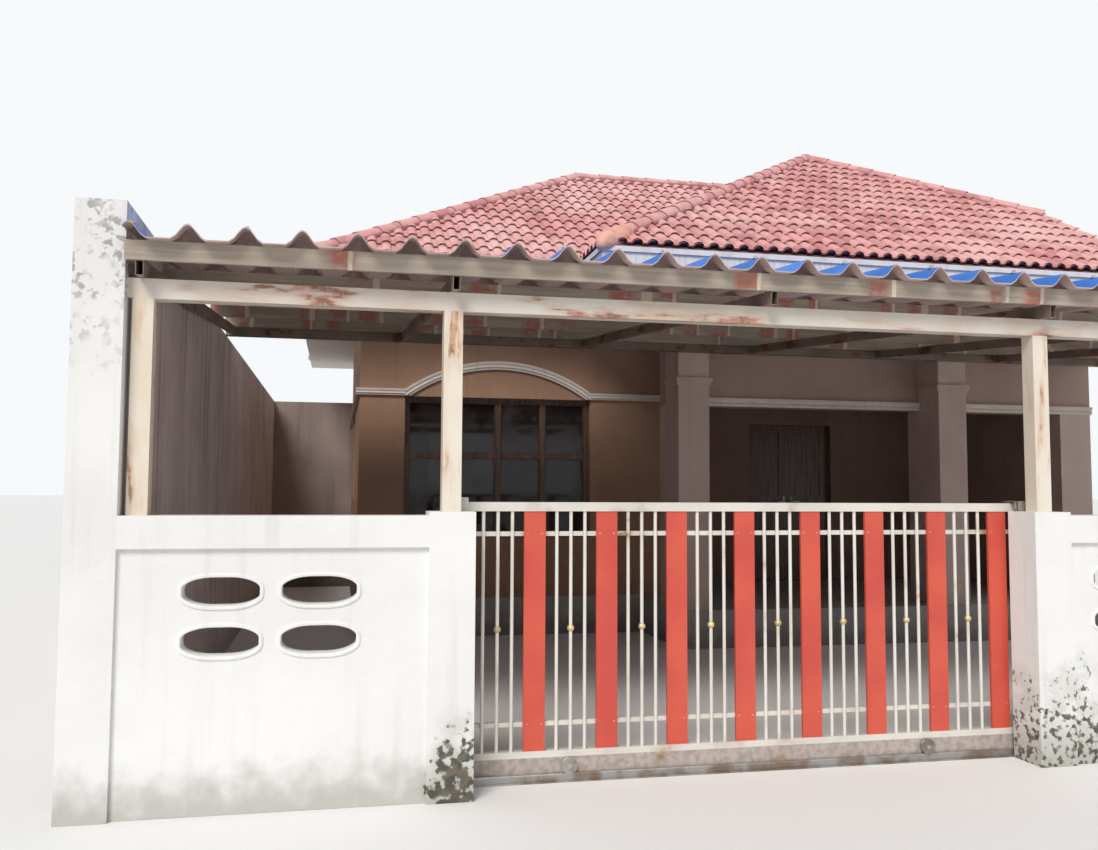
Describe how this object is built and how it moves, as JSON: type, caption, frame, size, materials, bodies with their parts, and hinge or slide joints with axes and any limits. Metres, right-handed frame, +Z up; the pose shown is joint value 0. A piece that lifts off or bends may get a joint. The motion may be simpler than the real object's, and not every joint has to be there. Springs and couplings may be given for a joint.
{
  "type": "bungalow",
  "caption": "Tiled bungalow with a columned porch, a steel carport under wavy sheets, a white street wall with oval vents and a sliding gate.",
  "frame": {"origin": "bottom centre of the whole part's box, on the ground", "axes": "+Z up, +Y from the street into the plot, +X along the street to the right"},
  "size_m": [9.82, 12.6498, 6.3561],
  "materials": {
    "plaster": "worn white paint on plaster",
    "rim_paint": "white paint",
    "dark_steel": "worn",
    "gate_cream": "satin",
    "gate_red": "satin",
    "gilt": "satin",
    "wheel_iron": "worn",
    "frame_paint": "rusty cream paint",
    "purlin_paint": "matt primer",
    "sheet_blue": "weathered fibre cement",
    "concrete": "rough",
    "wall_paint": "matt",
    "mould_paint": "matt",
    "joinery": "varnished",
    "pane": "clear",
    "board": "painted",
    "tile": "matt"
  },
  "bodies": {
    "house": {"boundary_pillar": "plaster", "boundary_wall": "plaster", "passage_wall": "plaster", "street_wall_left": "plaster", "street_wall_right": "plaster", "vent_rims": "rim_paint", "gate_pier_left": "plaster", "gate_pier_right": "plaster", "end_pier": "plaster", "gate_track": "dark_steel", "gate_catch": "gate_cream", "gate_guide": "dark_steel", "carport_posts": "frame_paint", "front_beam": "frame_paint", "rear_beam": "frame_paint", "rafters": "frame_paint", "purlins": "purlin_paint", "roof_sheets": "sheet_blue", "house_floor": "concrete", "porch_floor": "concrete", "plinth": "concrete", "front_wall": "wall_paint", "left_side_wall": "wall_paint", "back_wall": "wall_paint", "party_wall": "wall_paint", "porch_side_wall": "wall_paint", "porch_back_wall": "wall_paint", "entrance_door": "joinery", "porch_column_left": "wall_paint", "porch_column_right": "wall_paint", "party_pier": "wall_paint", "porch_beam": "wall_paint", "mouldings": "mould_paint", "window_arch": "mould_paint", "front_window_frame": "joinery", "small_window_frames": "joinery", "window_glass": "pane", "ceiling": "board", "fascia": "board", "party_gable": "wall_paint", "main_front_slope": "tile", "main_rear_slope": "tile", "main_left_slope": "tile", "wing_front_slope": "tile", "wing_left_slope": "tile", "wing_right_slope": "tile", "wing_rear_slope": "tile", "roof_caps": "tile"},
    "gate": {"gate_frame": "gate_cream", "gate_boards": "gate_red", "gate_tubes": "gate_cream", "gate_balls": "gilt"},
    "wheel_left": {"gate_wheel_left": "wheel_iron"},
    "wheel_right": {"gate_wheel_right": "wheel_iron"}
  },
  "joints": [
    {"name": "gate_slide", "type": "slide", "parent": "house", "child": "gate", "axis": [1, 0, 0], "range_m": [0, 3.39]},
    {"name": "wheel_left_roll", "type": "hinge", "parent": "gate", "child": "wheel_left", "pos_m": [-2.37, -5.9241, 0.082], "axis": [0, 1, 0], "range_deg": [0, 5450]},
    {"name": "wheel_right_roll", "type": "hinge", "parent": "gate", "child": "wheel_right", "pos_m": [-0.2, -5.9241, 0.082], "axis": [0, 1, 0], "range_deg": [0, 5450]}
  ],
  "couplings": [
    {"joint": "wheel_left_roll", "follows": "gate_slide", "rad_per_m": 27.778},
    {"joint": "wheel_right_roll", "follows": "gate_slide", "rad_per_m": 27.778}
  ]
}
